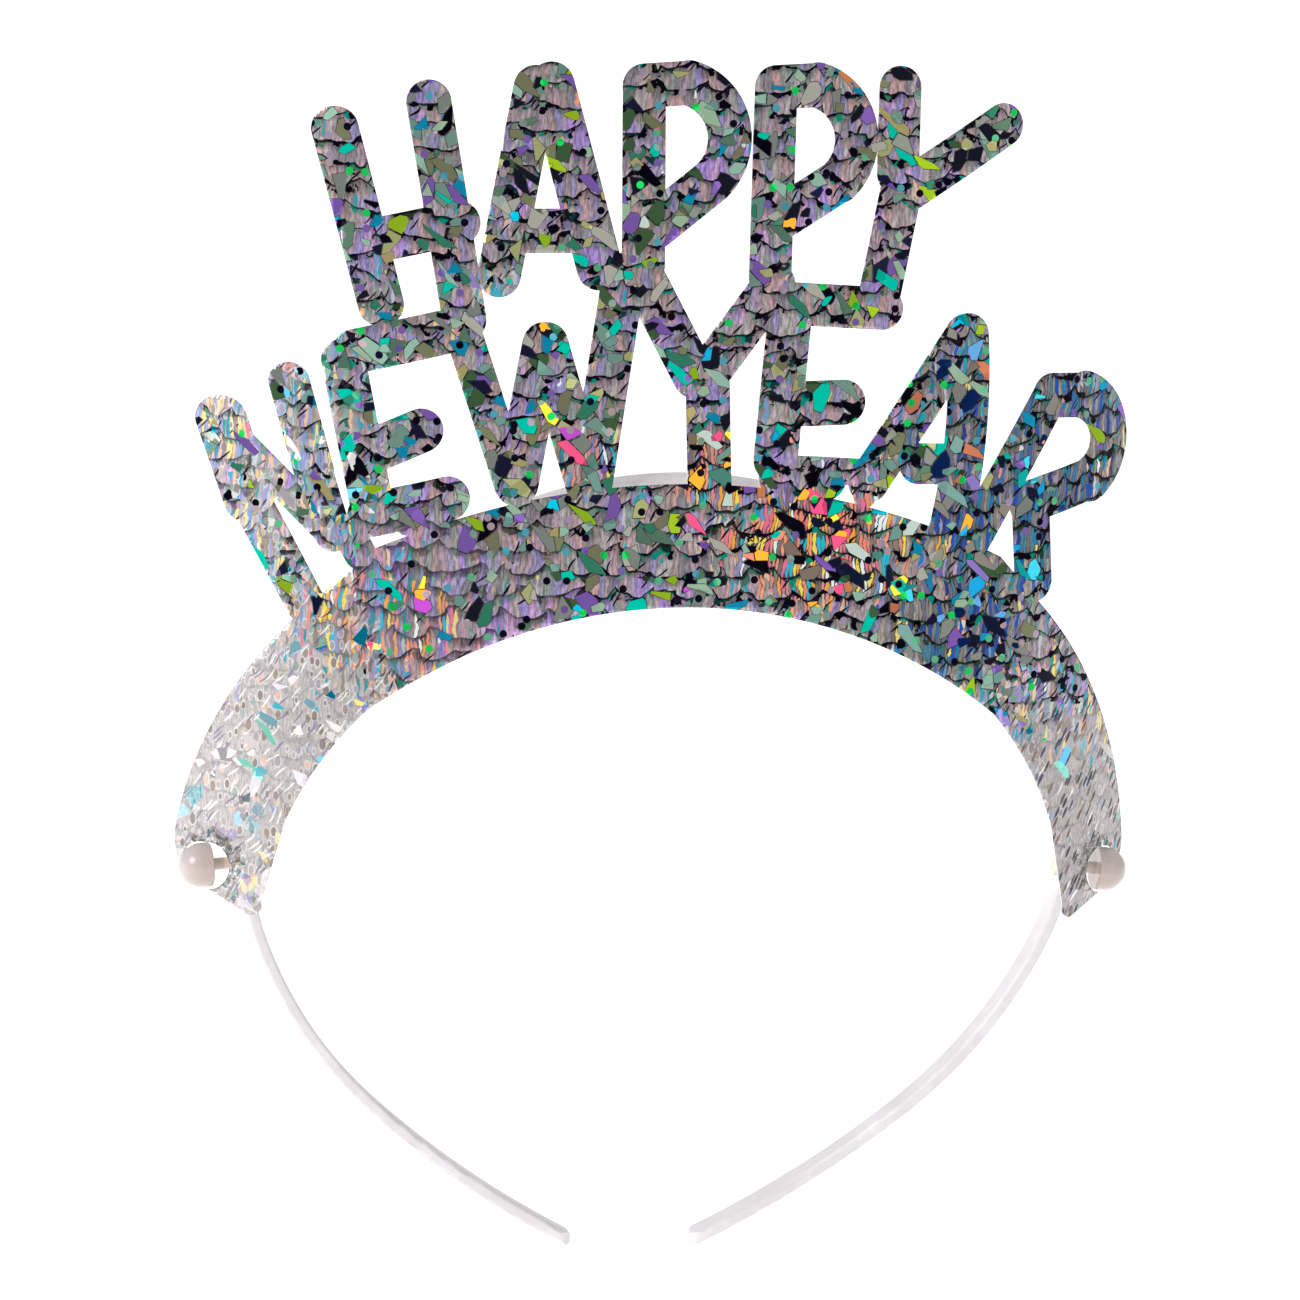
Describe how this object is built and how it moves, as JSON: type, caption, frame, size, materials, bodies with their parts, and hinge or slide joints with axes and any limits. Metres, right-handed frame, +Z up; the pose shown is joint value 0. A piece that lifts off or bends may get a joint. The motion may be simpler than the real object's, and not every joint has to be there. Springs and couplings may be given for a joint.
{
  "type": "party headband",
  "caption": "New year party headband: a springy plastic hair band with a bent, foil-faced card tiara of letters over a crescent, hung on dome-headed studs so it tilts.",
  "frame": {"origin": "midway between the two studs, in the middle of the head opening", "axes": "+Z up through the letters, -Y to the front of the tiara, +X to the reader's right"},
  "size_m": [0.1532, 0.021, 0.1891],
  "materials": {
    "band_plastic": "satin moulded",
    "stud_plastic": "translucent gloss",
    "card": "smooth white card",
    "film": "metallised holographic film"
  },
  "bodies": {
    "band": {"headband": "band_plastic", "left_stud": "stud_plastic", "right_stud": "stud_plastic"},
    "tiara": {"tiara_card": "card", "holographic_film": "film"}
  },
  "joints": [
    {"name": "tiara_tilt", "type": "hinge", "parent": "band", "child": "tiara", "pos_m": [0, 0, 0], "axis": [1, 0, 0], "range_deg": [0, 25]}
  ]
}
